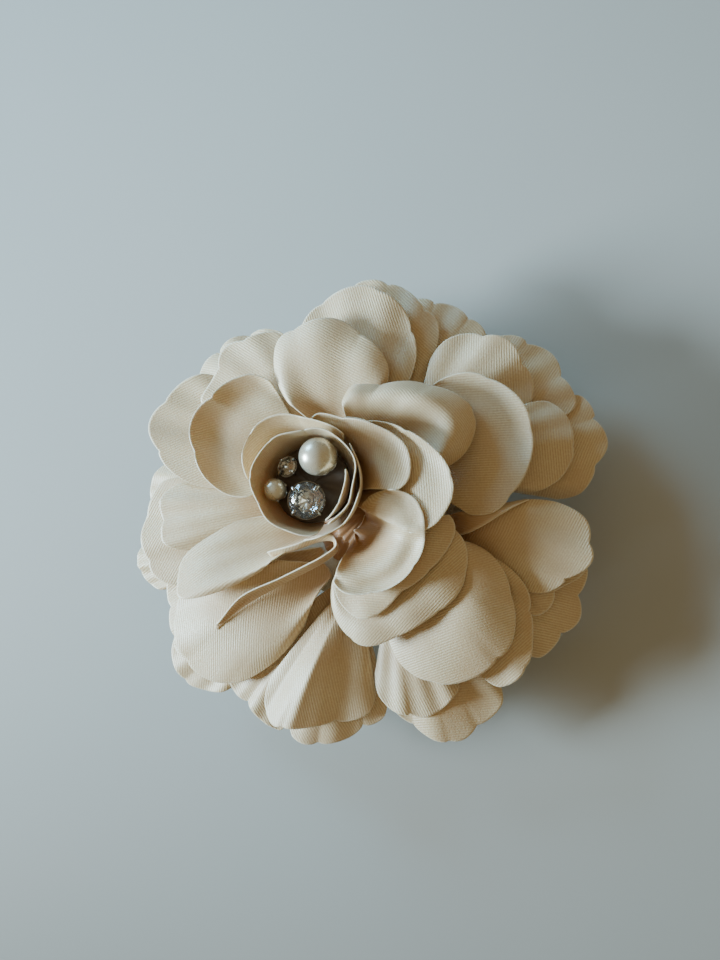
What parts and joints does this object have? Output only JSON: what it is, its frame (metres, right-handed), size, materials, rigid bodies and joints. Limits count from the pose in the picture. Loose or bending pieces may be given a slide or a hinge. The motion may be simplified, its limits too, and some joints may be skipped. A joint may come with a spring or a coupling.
{
  "type": "flower hair clip",
  "caption": "Layered satin flower with a wrapped bud of pearls and set stones, glued on a felt disc over a sprung toothed hair clip.",
  "frame": {"origin": "centre of the bounding box at the lowest petal tips, where it stands", "axes": "+Z out through the bud, +X along the clip towards its toothed tip"},
  "size_m": [0.1062, 0.102, 0.0355],
  "materials": {
    "petal_satin": "soft satin sheen, fine ribbed weave",
    "felt": "matte pressed felt",
    "core": "matte gathered cloth",
    "pearl": "pearl lacquer",
    "stone": "clear, foil backed, faceted",
    "plated_metal": "bright nickel plate",
    "clip_steel": "nickel plated steel",
    "spring_steel": "drawn spring wire"
  },
  "bodies": {
    "flower": {"bud_core": "core", "bud_flap": "petal_satin", "bud_wrap_01": "petal_satin", "bud_wrap_02": "petal_satin", "bud_wrap_03": "petal_satin", "clip_pin": "clip_steel", "clip_spring": "spring_steel", "clip_top_arm": "clip_steel", "felt_back": "felt", "flower_core": "core", "inner_fold": "petal_satin", "inner_petal_01": "petal_satin", "inner_petal_02": "petal_satin", "inner_petal_03": "petal_satin", "inner_petal_04": "petal_satin", "inner_petal_05": "petal_satin", "inner_petal_06": "petal_satin", "inner_petal_07": "petal_satin", "large_pearl": "pearl", "large_pearl_post": "plated_metal", "large_stone": "stone", "large_stone_setting": "plated_metal", "middle_petal_01": "petal_satin", "middle_petal_02": "petal_satin", "middle_petal_03": "petal_satin", "middle_petal_04": "petal_satin", "middle_petal_05": "petal_satin", "middle_petal_06": "petal_satin", "middle_petal_07": "petal_satin", "middle_petal_08": "petal_satin", "middle_petal_09": "petal_satin", "middle_petal_10": "petal_satin", "middle_petal_11": "petal_satin", "middle_petal_12": "petal_satin", "middle_petal_13": "petal_satin", "middle_petal_14": "petal_satin", "outer_petal_01": "petal_satin", "outer_petal_02": "petal_satin", "outer_petal_03": "petal_satin", "outer_petal_04": "petal_satin", "outer_petal_05": "petal_satin", "outer_petal_06": "petal_satin", "outer_petal_07": "petal_satin", "outer_petal_08": "petal_satin", "outer_petal_09": "petal_satin", "outer_petal_10": "petal_satin", "outer_petal_11": "petal_satin", "outer_petal_12": "petal_satin", "small_pearl": "pearl", "small_pearl_post": "plated_metal", "small_stone": "stone", "small_stone_setting": "plated_metal", "upper_petal_01": "petal_satin", "upper_petal_02": "petal_satin", "upper_petal_03": "petal_satin", "upper_petal_04": "petal_satin"},
    "jaw": {"clip_jaw": "clip_steel"}
  },
  "joints": [
    {"name": "jaw_hinge", "type": "hinge", "parent": "flower", "child": "jaw", "pos_m": [-0.00376, -0.0008, 0.0082], "axis": [0, 1, 0], "range_deg": [0, 26], "stiffness_Nm_per_rad": 0.1, "springref_deg": -14.32, "deforming": ["clip_spring"]}
  ]
}
